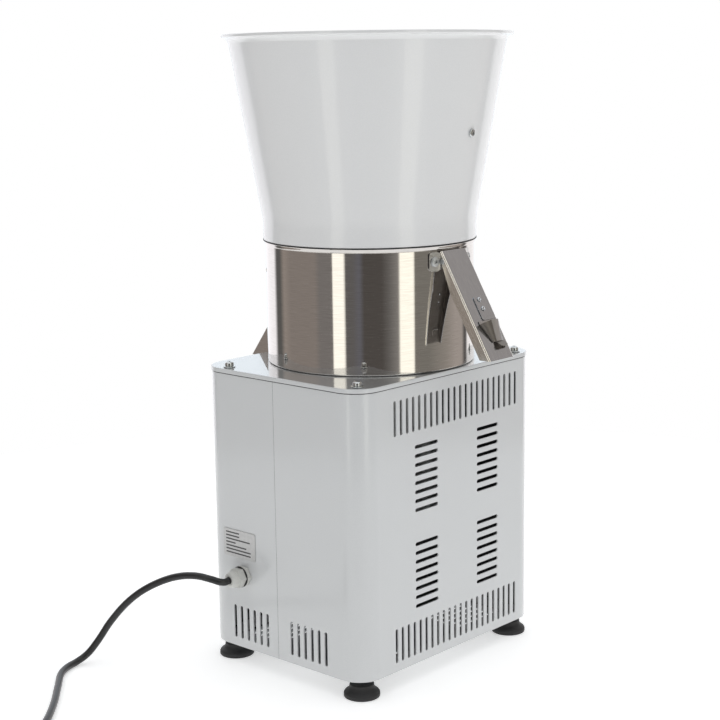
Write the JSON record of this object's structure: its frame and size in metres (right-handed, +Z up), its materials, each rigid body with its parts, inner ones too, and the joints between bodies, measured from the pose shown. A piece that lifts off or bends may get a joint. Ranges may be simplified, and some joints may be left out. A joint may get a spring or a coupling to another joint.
{
  "type": "electric grain mill",
  "caption": "Electric grain mill: vented steel casing on rubber feet, stainless milling drum, conical feed hopper, side clamp lever and a sheet outlet hood.",
  "frame": {"origin": "on the surface that the feet stand on, below the middle of the object's own box without its cord; the drum's axis is 12.2 mm from it at +X", "axes": "+Z up, +Y out of the back wall with the cable gland, -Y out of the front wall with the switch, -X out of the vented wall with the lever, +X out of the outlet's wall"},
  "size_m": [0.3995, 0.7421, 0.7093],
  "materials": {
    "white_paint": "smooth gloss white powder coat",
    "stainless": "satin stainless sheet",
    "zinc": "zinc plated steel",
    "cast_aluminium": "cast",
    "laminations": "stacked steel laminations",
    "tool_steel": "machined steel",
    "black_rubber": "black rubber",
    "grey_plastic": "light grey nylon",
    "black_plastic": "black moulded plastic",
    "red_plastic": "red moulded plastic",
    "capacitor_white": "white plastic can",
    "plate_silver": "silver plate, blank"
  },
  "bodies": {
    "mill_body": {"casing_left_shell": "white_paint", "casing_right_shell": "white_paint", "top_cover": "white_paint", "drum_shell": "stainless", "sieve_plate": "stainless", "outlet_hood": "stainless", "lever_bracket": "stainless", "bottom_plate": "zinc", "foot_stud_1": "zinc", "foot_stud_2": "zinc", "foot_stud_3": "zinc", "foot_stud_4": "zinc", "cover_screw_1": "zinc", "cover_screw_2": "zinc", "cover_screw_3": "zinc", "cover_screw_4": "zinc", "mount_bolt_1": "zinc", "mount_bolt_2": "zinc", "mount_bolt_3": "zinc", "bracket_screw_1": "zinc", "bracket_screw_2": "zinc", "lever_pin": "zinc", "upper_bearing": "zinc", "lower_bearing": "zinc", "drum_floor": "cast_aluminium", "motor_mount_plate": "cast_aluminium", "motor_housing": "cast_aluminium", "motor_end_bell": "cast_aluminium", "stator_core": "laminations", "foot_pad_1": "black_rubber", "foot_pad_2": "black_rubber", "foot_pad_3": "black_rubber", "foot_pad_4": "black_rubber", "cover_gasket": "black_rubber", "shaft_seal": "black_rubber", "power_cord": "black_rubber", "cord_coil": "black_rubber", "gland_body": "grey_plastic", "gland_nut": "grey_plastic", "switch_housing": "black_plastic", "plug": "black_plastic", "run_capacitor": "capacitor_white", "rating_plate": "plate_silver"},
    "rotor": {"motor_shaft": "tool_steel", "rotor_core": "laminations", "cooling_fan": "black_plastic", "sweeper_rotor": "tool_steel", "knife_blade": "tool_steel", "knife_nut": "zinc"},
    "hopper_set": {"hopper": "white_paint", "feed_funnel": "stainless", "hopper_guard": "stainless", "guard_screw_1": "zinc", "guard_screw_2": "zinc"},
    "lever": {"clamp_lever": "stainless", "catch_plate": "stainless", "catch_rivet_1": "zinc", "catch_rivet_2": "zinc"},
    "catch": {"catch_tongue": "stainless"},
    "rocker": {"rocker_button": "red_plastic"}
  },
  "joints": [
    {"name": "rotor_spin", "type": "hinge", "parent": "mill_body", "child": "rotor", "pos_m": [0.01295, 0, 0.35], "axis": [0, 0, 1], "continuous": true},
    {"name": "hopper_lift", "type": "slide", "parent": "mill_body", "child": "hopper_set", "axis": [0, 0, 1], "range_m": [0, 0.065]},
    {"name": "lever_hinge", "type": "hinge", "parent": "mill_body", "child": "lever", "pos_m": [-0.11025, -0.0006, 0.4655], "axis": [0, -1, 0], "range_deg": [0, 23]},
    {"name": "catch_flex", "type": "hinge", "parent": "lever", "child": "catch", "pos_m": [-0.15202, -0.0061, 0.40268], "axis": [0, 1, 0], "range_deg": [0, 9], "stiffness_Nm_per_rad": 0.4, "springref_deg": -1.15},
    {"name": "rocker_tilt", "type": "hinge", "parent": "mill_body", "child": "rocker", "pos_m": [0.07295, -0.1543, 0.255], "axis": [1, 0, 0], "range_deg": [-16, 0]}
  ]
}
